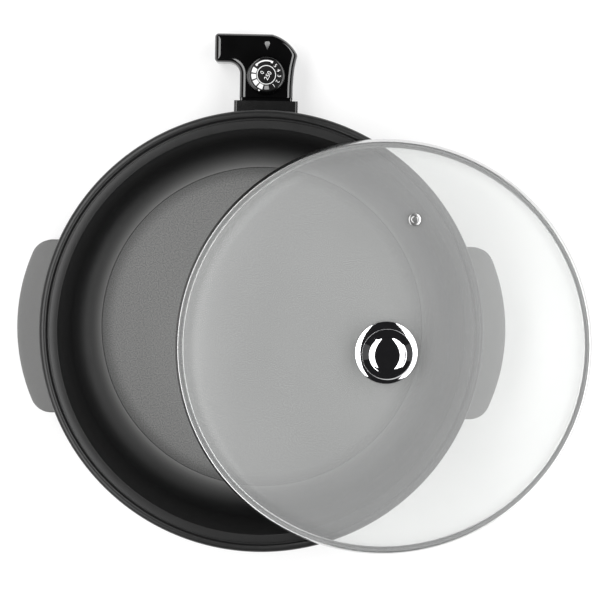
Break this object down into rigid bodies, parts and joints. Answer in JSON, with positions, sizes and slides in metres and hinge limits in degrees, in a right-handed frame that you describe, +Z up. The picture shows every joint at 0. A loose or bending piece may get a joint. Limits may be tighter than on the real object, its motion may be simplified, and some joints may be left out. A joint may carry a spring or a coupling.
{
  "type": "electric frying pan",
  "caption": "Round electric pan on short legs, black non-stick, with side handles, a glass lid slid part way off, and a plug-in thermostat controller with a dial.",
  "frame": {"origin": "centre of the pan's flat cooking surface, on the pan's axis", "axes": "+Z up along the pan's axis; +Y towards the plug-in controller; the side handles lie on +X and -X"},
  "size_m": [0.5476, 0.4942, 0.1443],
  "materials": {
    "nonstick": "black non-stick coating over cast aluminium, finely speckled on the base",
    "satin_steel": "satin",
    "chrome": "mirror bright",
    "brass": "plain",
    "white_ceramic": "unglazed",
    "grey_plastic": "fine moulded grain",
    "black_plastic": "gloss",
    "guard_paint": "satin black",
    "leg_plastic": "satin black",
    "rubber": "matt",
    "silicone": "translucent grey",
    "dial_print": "satin with a white printed scale",
    "smoked_lens": "smoked",
    "lid_glass": "clear tempered"
  },
  "bodies": {
    "base": {"element_end_seal_left": "white_ceramic", "element_end_seal_right": "white_ceramic", "foot_pad_front_left": "rubber", "foot_pad_front_right": "rubber", "foot_pad_rear_left": "rubber", "foot_pad_rear_right": "rubber", "guard_screw_left": "satin_steel", "guard_screw_right": "satin_steel", "handle_screw_left_front": "satin_steel", "handle_screw_left_rear": "satin_steel", "handle_screw_right_front": "satin_steel", "handle_screw_right_rear": "satin_steel", "heating_element": "satin_steel", "left_handle": "grey_plastic", "leg_front_left": "leg_plastic", "leg_front_right": "leg_plastic", "leg_rear_left": "leg_plastic", "leg_rear_right": "leg_plastic", "leg_screw_front_left": "satin_steel", "leg_screw_front_right": "satin_steel", "leg_screw_rear_left": "satin_steel", "leg_screw_rear_right": "satin_steel", "pan": "nonstick", "right_handle": "grey_plastic", "terminal_guard": "guard_paint", "terminal_insulator": "white_ceramic", "terminal_pin_left": "satin_steel", "terminal_pin_right": "satin_steel"},
    "lid": {"lid_glass": "lid_glass", "lid_band": "satin_steel", "vent_eyelet": "chrome", "vent_washer": "silicone", "knob": "chrome", "knob_cap": "chrome", "knob_flange": "chrome", "knob_washer": "silicone", "knob_inner_washer": "silicone", "knob_screw": "satin_steel"},
    "controller": {"controller_upper_shell": "black_plastic", "controller_lower_shell": "black_plastic", "shell_screw_arm": "satin_steel", "shell_screw_dial_end": "satin_steel", "contact_carrier": "white_ceramic", "contact_sleeve_left": "brass", "contact_sleeve_right": "brass", "earth_spring": "brass", "temperature_probe": "satin_steel", "thermostat_bracket": "satin_steel", "lower_spacer": "white_ceramic", "upper_spacer": "white_ceramic", "fixed_contact_strip": "brass", "thermostat_rivet": "satin_steel", "pointer_window": "smoked_lens", "pilot_lamp": "smoked_lens", "cord_bush": "rubber"},
    "dial": {"dial": "black_plastic", "dial_face": "dial_print", "dial_spindle": "satin_steel", "spindle_clip": "satin_steel"},
    "contact_leaf": {"contact_leaf": "brass"}
  },
  "joints": [
    {"name": "lid_slide", "type": "slide", "parent": "base", "child": "lid", "axis": [0.9949, -0.1011, 0], "range_m": [-0.116, 0.3]},
    {"name": "controller_pull", "type": "slide", "parent": "base", "child": "controller", "axis": [0, 1, 0], "range_m": [0, 0.128]},
    {"name": "dial_turn", "type": "hinge", "parent": "controller", "child": "dial", "pos_m": [0, 0.2445, 0.0135], "axis": [0, 0, 1], "range_deg": [-280, 0]},
    {"name": "contact_leaf_bend", "type": "hinge", "parent": "controller", "child": "contact_leaf", "pos_m": [0, 0.23, -0.004], "axis": [-1, 0, 0], "range_deg": [0, 3.7]}
  ],
  "couplings": [
    {"joint": "contact_leaf_bend", "follows": "dial_turn", "ratio": -0.012857}
  ]
}
